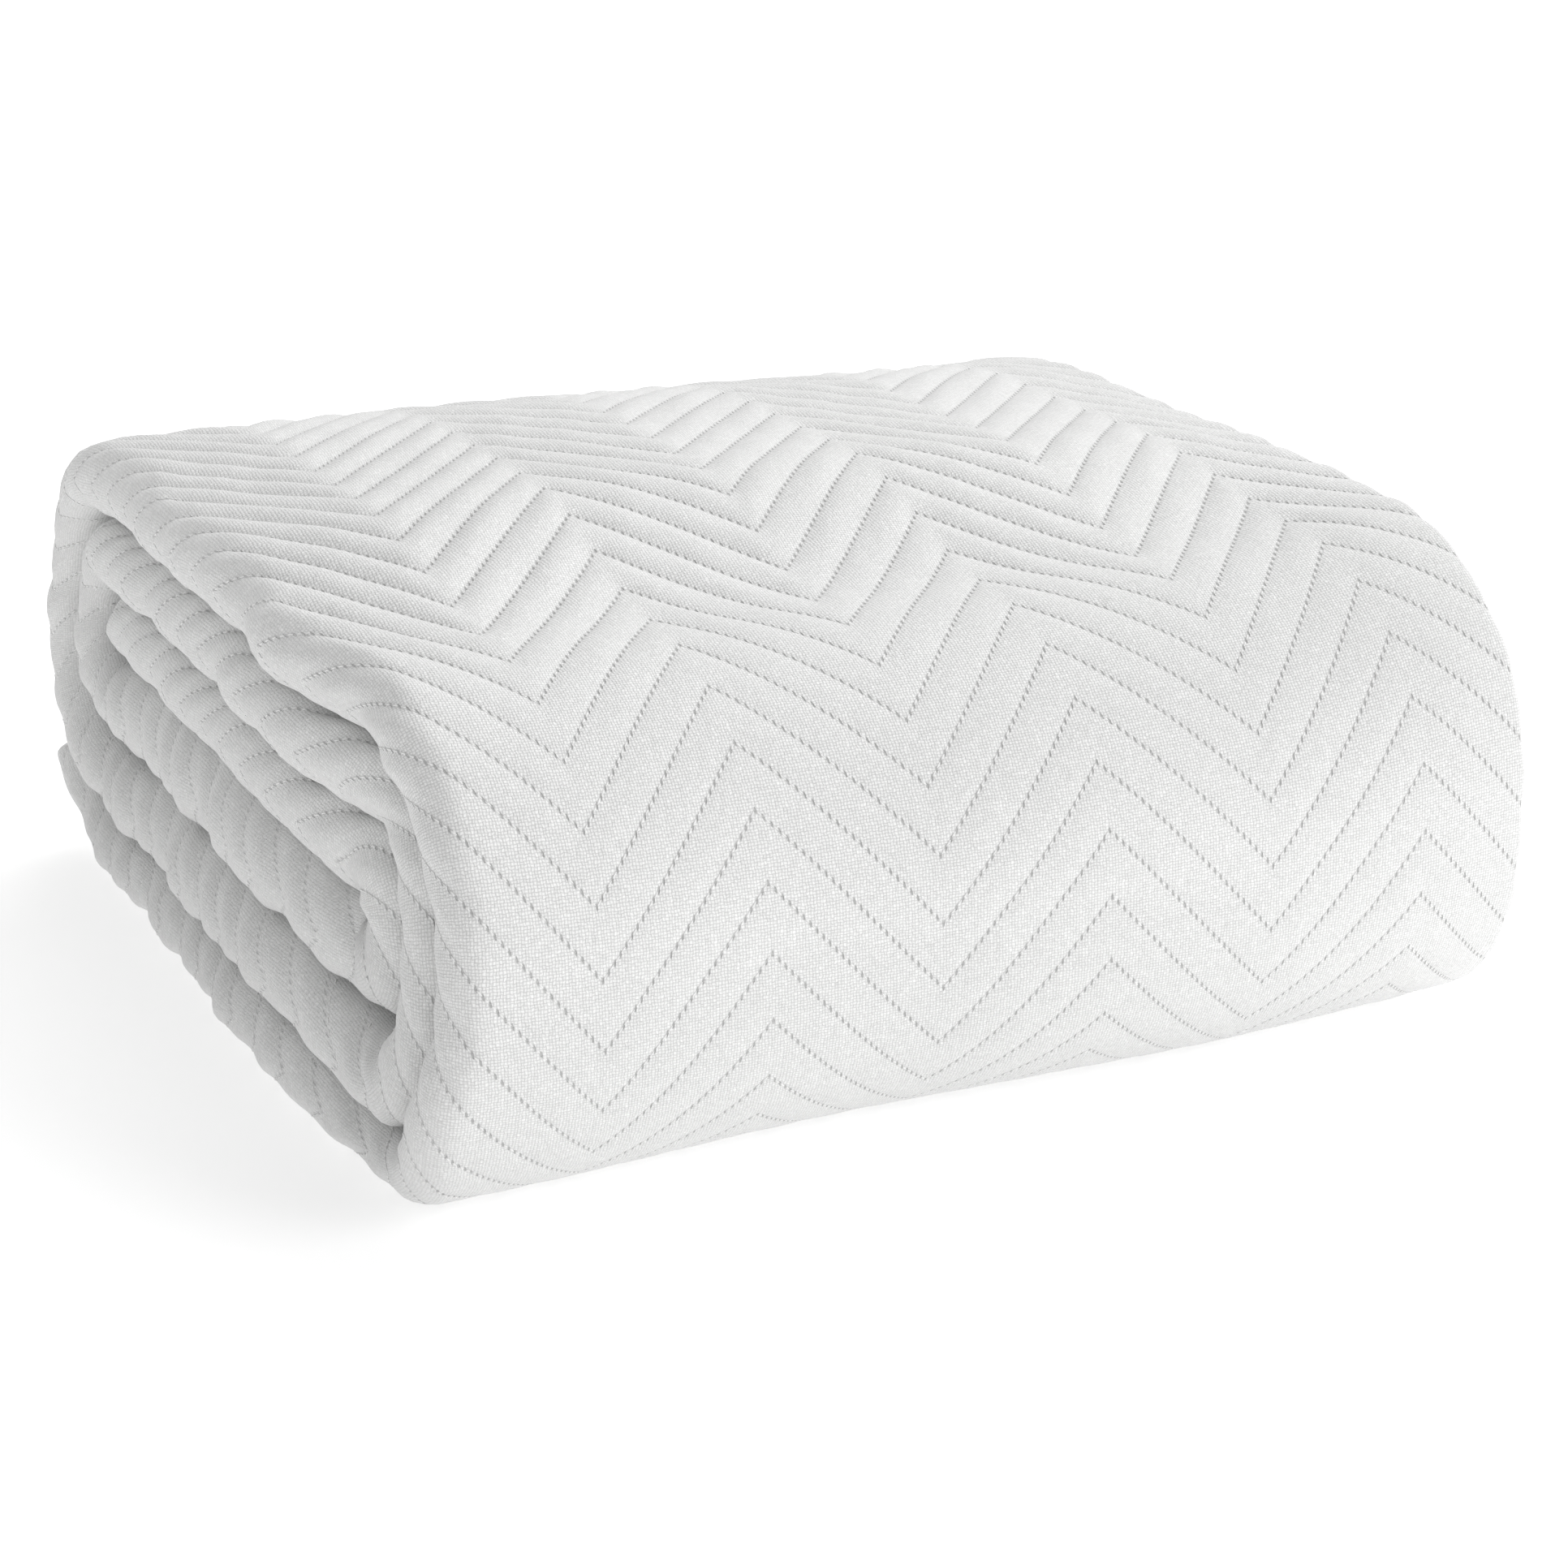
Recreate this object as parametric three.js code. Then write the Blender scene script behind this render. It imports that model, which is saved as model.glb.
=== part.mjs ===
// A quilted bedspread, folded for the shelf.
//
// The cloth is first folded twice along its length, so that it becomes a band of four layers with
// a closed, rounded lip on its left and its hems on its right. The band is then rolled up flat into
// six layers. Every bend turns the same way, so the front shows three walls, one inside the other.
//
// Millimetres, Z up, the front towards -Y. The band's section is swept along the rolled path, and
// the rows of the mesh follow the zig-zag lines of stitching, so the quilting is raised in the
// cloth's outer face.
import * as THREE from 'three';

// The pile
const WIDTH = 404;            // from the left lip to the hems on the right
const FRONT_CENTRE = -124;    // y of the centre that the front bends turn about
const BACK_CENTRE = 139;      // y of the centre that the back bends turn about
const INNER_END = 141;        // y of the band's end inside the roll
const TAIL_TURN = 44;         // degrees that the band's outer end climbs round the back

// The quilting
const CHANNEL = 24;           // step from one zig-zag line to the next, along the band
const ZIG_HALF = 60.25;       // from a line's valley to its next peak, across the band
const ZIG_RISE = 72;          // how far a line climbs in that half step, along the band
const GROOVE_DEPTH = 3.2;     // how far the stitching draws the face down
const PHASE_Y = -119;         // y on the top where a line's peak lies

// The cloth's own four layers inside the band, as shares of the band's thickness
const SHEET = 0.2305;
const SLIT = 0.026;
const HEM_STEP = 3;           // how far the second sheet's hem stands back from the first
const FOLD_STEP = 2;          // how far the fold under the hems stands back

// One row for each layer of the roll, from the band's inner end to its outer end
const LAYERS = [
  { name: 'third layer from the top',  mid: 107.5, thick: 24.5, lip: 5 },
  { name: 'fourth layer from the top', mid: 76,    thick: 32,   lip: 3 },
  { name: 'second layer from the top', mid: 134,   thick: 25.5, lip: 2 },
  { name: 'fifth layer from the top',  mid: 40.5,  thick: 30,   lip: 1 },
  { name: 'top layer',                 mid: 163.5, thick: 27,   lip: 0 },
  { name: 'bottom layer',              mid: 11.5,  thick: 23,   lip: 2 },
];
const BEND_THICK = 26.5;      // the band's thickness halfway round a bend

// How far from its plain place the pile has settled, at its left and its right side
const FRONT_SHIFT = { left: 0, right: 17 };         // set back from the front
const SHOULDER_DROP = { left: 0.05, right: 0.09 };  // lower at the front, as a share of the height
const SHOULDER_RUN = { back: -20, front: -130 };    // y between which that comes in
// The front wall stands squarely: how far its foot reaches out, up to what height, and the run of y
// over which that comes in
const FOOT = { reach: 28.5, height: 88, back: -60, front: -150 };
const BACK_SAG = { share: 0.04, front: 90, back: 230 };
const WAVE = { left: 0.004, right: -0.004, run: 41, start: 1.3 };
const LEAN = { front: 6, back: -4 };                // the left end, towards the right
const LEAN_RUN = { front: -200, back: -20 };
const CROWN_RISE = 2.5;       // the top sheet is fuller in the middle

// The mesh
const STEP = CHANNEL / 2;     // two rows for each channel: its line and its crown
const COLUMNS_A_LEG = 3;      // columns from a peak to the next valley on the quilted face
const BEND_BLEND = 60;        // run over which a layer's own thickness comes in after a bend
const END_BLEND = 90;         // run over which the rows turn from the straight hem to the zig-zag
const END_ROUND = 9;          // the rounding of the band's two ends
const END_THIN = 0.62;        // their thickness at the very end, as a share
const END_ROWS = [0, 0.3, 1]; // where the rows of that rounding lie, as shares of it
const FOOT_FADE = { from: 50, to: 10 };  // how far before the bottom layer the quilting flattens out
const CROWN_FADE = { start: [20, 90], foot: [120, 45] };  // where the fuller middle comes and goes
const LINE_STEP = 2;          // distance between points on the middle line

const clamp01 = (t) => Math.min(1, Math.max(0, t));
const smooth = (a, b, v) => {
  const t = clamp01((v - a) / (b - a));
  return t * t * (3 - 2 * t);
};
const mix = (a, b, t) => a + (b - a) * t;

// The band's middle line: straight layers joined by half turns, alternately at the front and back
function middleLine() {
  const points = [];
  const add = (y, z, ny, nz, thick, lip) => points.push({ y, z, ny, nz, thick, lip });
  for (let i = 0; i < LAYERS.length; i += 1) {
    const layer = LAYERS[i];
    const goesForward = i % 2 === 0;
    const up = goesForward ? 1 : -1;
    const isFirst = i === 0;
    const isLast = i === LAYERS.length - 1;
    const bendBefore = goesForward ? BACK_CENTRE : FRONT_CENTRE;
    const start = isFirst ? INNER_END : bendBefore;
    const stop = goesForward ? FRONT_CENTRE : BACK_CENTRE;
    const run = Math.abs(stop - start);
    const count = Math.round(run / LINE_STEP);
    for (let k = 0; k <= count; k += 1) {
      const along = (run * k) / count;
      const fromBend = Math.min(isFirst ? Infinity : along, isLast ? Infinity : run - along);
      const thick = mix((BEND_THICK + layer.thick) / 2, layer.thick, smooth(0, BEND_BLEND, fromBend));
      add(mix(start, stop, k / count), layer.mid, 0, up, thick, layer.lip);
    }
    if (isLast) {
      // The outer end climbs a little way round the back bend above it
      const centre = (LAYERS[i - 1].mid + LAYERS[i - 2].mid) / 2;
      const radius = centre - layer.mid;
      const turn = THREE.MathUtils.degToRad(TAIL_TURN);
      const tailCount = Math.round((radius * turn) / LINE_STEP);
      for (let k = 1; k <= tailCount; k += 1) {
        const ny = Math.sin((turn * k) / tailCount);
        const nz = -Math.cos((turn * k) / tailCount);
        add(stop + ny * radius, centre + nz * radius, ny, nz, layer.thick, layer.lip);
      }
      break;
    }
    const next = LAYERS[i + 1];
    const radius = Math.abs(layer.mid - next.mid) / 2;
    const centre = (layer.mid + next.mid) / 2;
    const side = goesForward ? -1 : 1;
    const arcCount = Math.round((Math.PI * (radius + BEND_THICK / 2)) / LINE_STEP);
    for (let k = 1; k < arcCount; k += 1) {
      const turn = k / arcCount;
      const angle = Math.PI * turn;
      const ny = side * Math.sin(angle);
      const nz = up * Math.cos(angle);
      const near = turn < 0.5 ? layer : next;
      const thick = mix((BEND_THICK + near.thick) / 2, BEND_THICK, 1 - Math.abs(2 * turn - 1));
      const lip = mix(layer.lip, next.lip, smooth(0, 1, turn));
      add(stop + ny * radius, centre + nz * radius, ny, nz, thick, lip);
    }
  }
  // Length is measured on the outer face, where the quilting shows
  let length = 0;
  points.forEach((p, i) => {
    p.outerY = p.y + (p.ny * p.thick) / 2;
    p.outerZ = p.z + (p.nz * p.thick) / 2;
    if (i > 0) {
      const q = points[i - 1];
      length += Math.hypot(p.outerY - q.outerY, p.outerZ - q.outerZ);
    }
    p.s = length;
  });
  return points;
}

const line = middleLine();
const LENGTH = line[line.length - 1].s;

function bandAt(s) {
  const target = Math.min(Math.max(s, 0), LENGTH);
  let low = 0;
  let high = line.length - 1;
  while (high - low > 1) {
    const half = (low + high) >> 1;
    if (line[half].s <= target) low = half;
    else high = half;
  }
  const a = line[low];
  const b = line[high];
  const t = (target - a.s) / (b.s - a.s);
  const between = {};
  for (const key of ['y', 'z', 'ny', 'nz', 'thick', 'lip']) between[key] = mix(a[key], b[key], t);
  const size = Math.hypot(between.ny, between.nz);
  between.ny /= size;
  between.nz /= size;
  return between;
}

// Where the back wall and the bottom layer start, and where a line's peak lies on the top
const isOn = (p, layer) => Math.abs(p.z - layer.mid) < 0.01 && Math.abs(p.ny) < 0.001;
const backStart = line.findLast((p) => isOn(p, LAYERS[3])).s;
const bottomStart = line.find((p) => isOn(p, LAYERS[5])).s;
const phase = line.find((p) => isOn(p, LAYERS[4]) && p.y <= PHASE_Y).s;

// 0 on the columns of peaks and 1 on the columns of valleys
function zig(x) {
  const t = Math.abs(x / ZIG_HALF) % 2;
  return t > 1 ? 2 - t : t;
}

// One vertex of the band's section. x runs across the band, n is 1 on its outer face and -1 on its
// inner one, and (dx, dn) points out of the cloth where the stitching shows.
const vertex = (x, n, dx = 0, dn = 0, crown = 0) => ({ x, n, dx, dn, crown });

// The section without the outer face of the top sheet, from the lip's upper edge round to the hem
function section(thick) {
  const half = thick / 2;
  const ring = [];
  // The lip on the left, outside
  for (let turn = 90; turn <= 270; turn += 30) {
    const a = THREE.MathUtils.degToRad(turn);
    const shows = turn < 270 ? 1 : 0;
    const [out, up] = [Math.cos(a), Math.sin(a)];
    ring.push(vertex(half + half * out, up, shows * out, shows * up));
  }
  // The fold on the right that leads from the bottom sheet up to the third
  const radius = (SHEET + SLIT / 2) * thick;
  const foldMid = radius - half;
  const foldX = WIDTH - FOLD_STEP - radius;
  for (let turn = -90; turn <= 90; turn += 90) {
    const a = THREE.MathUtils.degToRad(turn);
    ring.push(vertex(foldX + radius * Math.cos(a), (foldMid + radius * Math.sin(a)) / half));
  }
  // The slit between the third and the second sheet, then the second sheet's hem
  ring.push(vertex(half + 1, 0));
  ring.push(vertex(WIDTH - HEM_STEP, SLIT));
  ring.push(vertex(WIDTH - HEM_STEP, SLIT + 2 * SHEET));
  // The inner loop, which joins the second and the third sheet on the left
  ring.push(vertex(half, SLIT + 2 * SHEET), vertex(half, -SLIT - 2 * SHEET));
  // The slit under the fold on the right, then the inside of the lip, then the top sheet's hem
  ring.push(vertex(foldX, foldMid / half));
  ring.push(vertex(half - 1, 2 * SHEET - 1), vertex(half - 1, 1 - 2 * SHEET));
  ring.push(vertex(WIDTH, 1 - 2 * SHEET), vertex(WIDTH, 1));
  return ring;
}

// Where a row lies along the band at x: it follows the zig-zag on the lip and on the quilted face
function alongAt(row, x, quilted, thick) {
  const reach = quilted ? x : Math.min(x, thick / 2);
  const weight = smooth(0, END_BLEND, row) * smooth(0, END_BLEND, LENGTH - row - ZIG_RISE / 2);
  return row + ZIG_RISE * zig(reach) * (quilted ? 1 : weight);
}

// The pile's settling, a smooth shift of space that leaves the floor flat and straight lines across
// the pile straight
function settle(x, y, z) {
  const across = x / WIDTH;
  const low = Math.max(0, 1 - z / FOOT.height);
  const foot = y - FOOT.reach * low ** 1.5 * smooth(FOOT.back, FOOT.front, y);
  const drop = mix(SHOULDER_DROP.left, SHOULDER_DROP.right, across)
    * smooth(SHOULDER_RUN.back, SHOULDER_RUN.front, foot);
  const wave = mix(WAVE.left, WAVE.right, across) * Math.sin(foot / WAVE.run + WAVE.start);
  const sag = BACK_SAG.share * smooth(BACK_SAG.front, BACK_SAG.back, y);
  const lean = mix(LEAN.front, LEAN.back, smooth(LEAN_RUN.front, LEAN_RUN.back, foot)) * (1 - across);
  const shift = mix(FRONT_SHIFT.left, FRONT_SHIFT.right, across);
  return new THREE.Vector3(x + lean, foot + shift, z * (1 - drop + wave - sag));
}

function place(point, s, onLine) {
  const band = bandAt(s);
  const half = band.thick / 2;
  const foot = smooth(bottomStart - FOOT_FADE.from, bottomStart - FOOT_FADE.to, s);
  const showing = mix(1 - foot, 1, Math.abs(point.dx));
  const [soon, full] = CROWN_FADE.start;
  const [late, gone] = CROWN_FADE.foot;
  const reach = smooth(backStart + soon, backStart + full, s)
    * (1 - smooth(bottomStart - late, bottomStart - gone, s));
  const fuller = CROWN_RISE * Math.sin(Math.PI * clamp01(point.x / WIDTH)) * reach * point.crown;
  const depth = (onLine ? GROOVE_DEPTH : 0) * showing - fuller;
  // The band's two ends are rounded: they thin and draw in over the last few millimetres
  const end = clamp01(Math.min(s, LENGTH - s) / END_ROUND);
  const round = Math.sqrt(1 - (1 - end) ** 2);
  const n = (point.n * half - point.dn * depth) * mix(END_THIN, 1, round);
  const drawnIn = END_ROUND * (1 - round);
  const x = mix(drawnIn, WIDTH - drawnIn, point.x / WIDTH) - point.dx * depth;
  const lip = band.lip * (1 - x / WIDTH);
  return settle(x + lip, band.y + band.ny * n, Math.max(0, band.z + band.nz * n));
}

// The rows: one on each line of stitching and one on the crown between two lines
function layRows() {
  const clear = END_ROUND + STEP / 2;
  const rows = END_ROWS.map((share) => ({ at: share * END_ROUND, onLine: false }));
  const first = Math.ceil((clear - phase) / STEP);
  const last = Math.floor((LENGTH - clear - phase) / STEP);
  for (let k = first; k <= last; k += 1) rows.push({ at: phase + k * STEP, onLine: k % 2 === 0 });
  const end = END_ROWS.map((share) => ({ at: LENGTH - share * END_ROUND, onLine: false }));
  return [...rows, ...end.reverse()];
}

function bedspread() {
  const positions = [];
  const indices = [];
  const rows = layRows();
  const size = section(BEND_THICK).length;
  const add = (point, s, onLine) => {
    const at = place(point, s, onLine);
    positions.push(at.x, at.y, at.z);
    return positions.length / 3 - 1;
  };
  const apart = (a, b) => {
    const corner = (p, k) => positions[3 * p + k];
    return Math.hypot(corner(a, 0) - corner(b, 0), corner(a, 1) - corner(b, 1), corner(a, 2) - corner(b, 2));
  };
  const strip = (before, here) => {
    for (let c = 0; c + 1 < before.length; c += 1) {
      const [a, b, d, e] = [before[c], before[c + 1], here[c + 1], here[c]];
      // Each four-sided patch is cut along its shorter diagonal
      const faces = apart(a, d) < apart(b, e) ? [[a, d, e], [a, b, d]] : [[a, b, e], [b, d, e]];
      indices.push(...faces.flat());
    }
  };

  // The lip, the inner sheets, the fold and the hems
  for (const row of rows) {
    const { thick } = bandAt(row.at);
    row.ring = section(thick).map((point) => add(point, alongAt(row.at, point.x, false, thick), row.onLine));
  }
  rows.slice(1).forEach((row, r) => strip(rows[r].ring, row.ring));

  // The quilted face of the top sheet, from the back wall over the top to the foot of the front wall
  const first = rows.findIndex((row) => row.at > backStart - ZIG_RISE - CHANNEL);
  const last = rows.findIndex((row) => row.at > bottomStart);
  const legs = Math.floor((WIDTH / ZIG_HALF) * COLUMNS_A_LEG);
  rows.forEach((row, r) => {
    const lip = row.ring[0];
    const hem = row.ring[size - 1];
    row.face = [hem];
    for (let k = legs; k >= 1 && r >= first && r <= last; k -= 1) {
      const x = (k * ZIG_HALF) / COLUMNS_A_LEG;
      row.face.push(add(vertex(x, 1, 0, 1, 1), alongAt(row.at, x, true), row.onLine));
    }
    row.face.push(lip);
  });

  // Flat stretches, hidden between layers or under the pile, join straight rows to zig-zag ones
  const fill = (from, to) => {
    const outline = [...rows[from].face];
    for (let r = from + 1; r < to; r += 1) outline.push(rows[r].ring[0]);
    outline.push(...[...rows[to].face].reverse());
    for (let r = to - 1; r > from; r -= 1) outline.push(rows[r].ring[size - 1]);
    const flat = outline.map((p) => new THREE.Vector2(positions[3 * p], positions[3 * p + 1]));
    const faces = THREE.ShapeUtils.triangulateShape(flat, []);
    const area = (face) => THREE.ShapeUtils.area(face.map((corner) => flat[corner]));
    const turnsLeft = faces.reduce((sum, face) => sum + area(face), 0) > 0;
    for (const face of faces) {
      if (turnsLeft) face.reverse();
      indices.push(...face.map((corner) => outline[corner]));
    }
  };
  const before = first - Math.ceil(CHANNEL / STEP);
  const after = last + Math.ceil(ZIG_RISE / STEP);
  fill(before, first);
  fill(last, after);
  for (let r = 1; r < rows.length; r += 1) {
    const filled = (r > before && r <= first) || (r > last && r <= after);
    if (!filled) strip(rows[r - 1].face, rows[r].face);
  }

  // The two ends are closed over the band's own section
  const flat = section(BEND_THICK).map((p) => new THREE.Vector2(p.x, (p.n * BEND_THICK) / 2));
  const start = rows[0].ring;
  const stop = rows[rows.length - 1].ring;
  for (const [a, b, c] of THREE.ShapeUtils.triangulateShape(flat, [])) {
    indices.push(start[a], start[c], start[b], stop[a], stop[b], stop[c]);
  }
  const geometry = new THREE.BufferGeometry();
  geometry.setAttribute('position', new THREE.Float32BufferAttribute(positions, 3));
  geometry.setIndex(indices);
  geometry.computeVertexNormals();
  return geometry;
}

const quiltedCloth = new THREE.MeshStandardMaterial({ color: 0xeeedea, roughness: 0.9, metalness: 0 });
const cloth = new THREE.Mesh(bedspread(), quiltedCloth);
cloth.name = 'folded_bedspread';

// The origin is under the middle of the pile, on the surface it rests on
cloth.geometry.computeBoundingBox();
const middle = cloth.geometry.boundingBox.getCenter(new THREE.Vector3());
cloth.geometry.translate(-middle.x, -middle.y, -cloth.geometry.boundingBox.min.z);

const pile = new THREE.Group();
pile.add(cloth);

export default pile;
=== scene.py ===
import math

import bmesh
import bpy
import numpy as np
from mathutils import Matrix, Vector
from mathutils.geometry import tessellate_polygon


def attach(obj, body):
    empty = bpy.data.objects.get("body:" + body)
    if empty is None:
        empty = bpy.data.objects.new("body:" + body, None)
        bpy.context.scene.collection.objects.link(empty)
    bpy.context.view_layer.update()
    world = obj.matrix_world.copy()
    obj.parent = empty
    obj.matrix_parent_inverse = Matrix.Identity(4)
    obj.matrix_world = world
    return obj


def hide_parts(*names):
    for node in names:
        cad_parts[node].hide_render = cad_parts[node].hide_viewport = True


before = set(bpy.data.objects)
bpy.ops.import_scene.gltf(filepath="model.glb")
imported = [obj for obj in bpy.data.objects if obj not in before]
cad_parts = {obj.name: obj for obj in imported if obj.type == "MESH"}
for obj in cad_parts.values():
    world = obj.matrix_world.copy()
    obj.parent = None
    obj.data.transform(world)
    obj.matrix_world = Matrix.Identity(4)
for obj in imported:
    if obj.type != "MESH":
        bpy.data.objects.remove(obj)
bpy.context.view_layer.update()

# A folded, quilted bedspread. The cloth is folded twice along its length into a band of four
# sheets, and the band is rolled up flat into six layers. Sizes are in metres. A point of the band
# has an x across it, a height h from its middle, and a length s along its outer face.

# The pile
WIDTH = 0.404                 # from the left lip to the hems on the right
FRONT_CENTRE = -0.124         # y of the centre that the front bends turn about
BACK_CENTRE = 0.139           # y of the centre that the back bends turn about
INNER_END = 0.141             # y of the band's end inside the roll
TAIL_TURN = 44                # degrees that the band's outer end climbs round the back
CENTRE = (0.2, 0.0086564)     # the middle of the pile's box in the sizes above
BEND_THICK = 0.0265           # the band's usual thickness in a bend
BEND_BLEND = 0.060            # run over which a layer's own thickness comes in after a bend
LINE_STEP = 0.002             # distance between points on the band's middle line

# One row for each layer, from the band's inner end to its outer end: the height of its middle,
# its thickness, the band's thickness in the bend that follows, and how far its left lip stands
# back
LAYERS = [
    {"mid": 0.1055, "thick": 0.0265, "bend": 0.0300, "lip": 0.005},
    {"mid": 0.0745, "thick": 0.0340, "bend": 0.0265, "lip": 0.003},
    {"mid": 0.1340, "thick": 0.0262, "bend": 0.0265, "lip": 0.002},
    {"mid": 0.0405, "thick": 0.0312, "bend": 0.0265, "lip": 0.001},
    {"mid": 0.1632, "thick": 0.0276, "bend": 0.0265, "lip": 0.000},
    {"mid": 0.0115, "thick": 0.0230, "bend": 0.0265, "lip": 0.002},
]

# The quilting
CHANNEL = 0.024               # step from one zig-zag line to the next, along the band
ZIG_HALF = 0.06025            # from a line's valley to its next peak, across the band
ZIG_RISE = 0.072              # how far a line climbs in that half step, along the band
PHASE_Y = -0.119              # y on the top where a line's peak lies
LEFT_DEPTH = 0.0030           # how far the stitching draws the face down on the top, at the left
TOP_DEPTH = 0.0020            # on the rest of the top
FRONT_DEPTH = 0.0005          # and on the front, where the cloth is stretched
LIP_DEPTH = 0.0010            # how far it draws the lip in
LIP_PEAK = -0.0085            # the peak on the lip, from the band's left end
STITCH = 0.00348              # from one stitch to the next
STITCHES_A_LEG = 27           # stitches between a peak and the next valley
THREAD = 0.00028              # the sewing thread's half thickness

# The band's section, as shares of its thickness
SHEET = 0.2305                # one sheet
SLIT = 0.013                  # half the slit between two sheets
HEM_BACK = 0.003              # how far the second sheet's hem stands back from the first
FOLD_BACK = 0.002             # how far the fold under the hems stands back
END_ROUND = 0.0027            # rounding of each sheet's edge at the band's two ends
END_BLEND = 0.090             # run over which the rows turn from the straight hem to the zig-zag

# The mesh
FINE_SHARES = (0, 0.035, 0.09, 0.18, 0.30, 0.42, 0.54, 0.66, 0.78, 0.89, 0.96)
FACE_STEPS = 12               # columns of the quilted face in half a zig-zag
HIDDEN_STEP = 0.030           # columns on the hidden faces
STRAIGHT_STEP = 0.020         # their rows, on the straights
BEND_STEP = 0.008             # their rows, round the bends
HEM_CLEAR = 0.006             # from the hem to the face's first fine column
INNER_PATCH = 0.026           # the shortest run of the patch before the fine face
OUTER_PATCH = 0.004           # and of the one after it, beyond the lines' own rise
UNSEWN = 0.02                 # run at the band's two ends without stitches


def smooth(a, b, value):
    t = np.clip((value - a) / (b - a), 0.0, 1.0)
    return t * t * (3 - 2 * t)


def mix(a, b, t):
    return a + (b - a) * t


def middle_line():
    """The band's middle line: straight layers joined by half turns, at the front and the back."""
    points = []
    last = len(LAYERS) - 1
    for i, layer in enumerate(LAYERS):
        forward = i % 2 == 0
        up = 1 if forward else -1
        before, stop = (BACK_CENTRE, FRONT_CENTRE) if forward else (FRONT_CENTRE, BACK_CENTRE)
        start = INNER_END if i == 0 else before
        run = abs(stop - start)
        count = round(run / LINE_STEP)
        for k in range(count + 1):
            along = run * k / count
            from_bend = min(math.inf if i == 0 else along, math.inf if i == last else run - along)
            blend = float(smooth(0, BEND_BLEND, from_bend))
            near_next = i == 0 or along > run / 2
            bend = layer["bend"] if near_next else LAYERS[i - 1]["bend"]
            thick = mix((bend + layer["thick"]) / 2, layer["thick"], blend)
            y = mix(start, stop, k / count)
            points.append((y, layer["mid"], 0.0, up, thick, layer["lip"]))
        if i == last:
            # The outer end climbs a little way round the back bend above it
            centre = (LAYERS[i - 1]["mid"] + LAYERS[i - 2]["mid"]) / 2
            radius = centre - layer["mid"]
            count = round(radius * math.radians(TAIL_TURN) / LINE_STEP)
            for k in range(1, count + 1):
                turn = math.radians(TAIL_TURN) * k / count
                ny, nz = math.sin(turn), -math.cos(turn)
                y, z = stop + ny * radius, centre + nz * radius
                points.append((y, z, ny, nz, layer["thick"], layer["lip"]))
            break
        following = LAYERS[i + 1]
        radius = abs(layer["mid"] - following["mid"]) / 2
        centre = (layer["mid"] + following["mid"]) / 2
        side = -1 if forward else 1
        count = round(math.pi * (radius + BEND_THICK / 2) / LINE_STEP)
        for k in range(1, count):
            turn = k / count
            ny = side * math.sin(math.pi * turn)
            nz = up * math.cos(math.pi * turn)
            near = layer if turn < 0.5 else following
            thick = mix((layer["bend"] + near["thick"]) / 2, layer["bend"], 1 - abs(2 * turn - 1))
            lip = mix(layer["lip"], following["lip"], float(smooth(0, 1, turn)))
            points.append((stop + ny * radius, centre + nz * radius, ny, nz, thick, lip))
    table = np.array(points)
    outer = table[:, 0:2] + table[:, 2:4] * table[:, 4:5] / 2
    steps = np.hypot(*np.diff(outer, axis=0).T)
    return np.concatenate([[0], np.cumsum(steps)]), table


LINE_S, LINE = middle_line()
LENGTH = LINE_S[-1]


def lies_on(layer):
    return (np.abs(LINE[:, 1] - LAYERS[layer]["mid"]) < 1e-5) & (np.abs(LINE[:, 2]) < 0.001)


BACK_START = LINE_S[np.nonzero(lies_on(3))[0][-1]]
BOTTOM_START = LINE_S[np.nonzero(lies_on(5))[0][0]]
TAIL_START = LINE_S[np.nonzero(lies_on(5))[0][-1]]
PHASE = LINE_S[np.nonzero(lies_on(4) & (LINE[:, 0] <= PHASE_Y))[0][0]]


def band_at(s):
    """The band's middle point, outward direction, thickness and lip at the lengths s."""
    y, z, ny, nz, thick, lip = (np.interp(s, LINE_S, LINE[:, k]) for k in range(6))
    size = np.hypot(ny, nz)
    return y, z, ny / size, nz / size, thick, lip


def zig(u):
    """0 on the columns of peaks and 1 on the columns of valleys. The last peak is on the lip, a
    little further round than the others are apart."""
    t = (np.abs(u - LIP_PEAK) + LIP_PEAK) / ZIG_HALF
    share = np.abs(t) % 2
    return np.where(share > 1, 2 - share, share) + 2 * np.minimum(t, 0)


def pillow(u, s, crisp):
    """How far the face is drawn in by the stitching: 1 on a line, 0 on the crown between two.
    crisp is the share of a narrow crease in it. The rest is round, or a plain wave where crisp
    is near 0."""
    share = ((s - ZIG_RISE * zig(u) - PHASE) / CHANNEL) % 1
    off_line = np.minimum(share, 1 - share)
    crown = np.sin(np.pi * share)
    soft = 1 - np.sqrt(crown * crown + 0.002)
    slack = 0.5 + 0.5 * np.cos(2 * np.pi * share)
    soft = mix(slack, soft, smooth(0, 0.25, crisp))
    return crisp * np.exp(-off_line / 0.075) + (1 - crisp) * soft


def row_weight(row):
    """How far a row has turned from the straight end hem to the zig-zag."""
    return smooth(0, END_BLEND, row) * smooth(0, END_BLEND, LENGTH - row - ZIG_RISE / 2)


def waves(value, pattern):
    """A gentle unevenness of about 1: a few sine waves, each with its length and its start."""
    return sum(share * np.sin(value * 2 * np.pi / run + start) for share, run, start in pattern)


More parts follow.
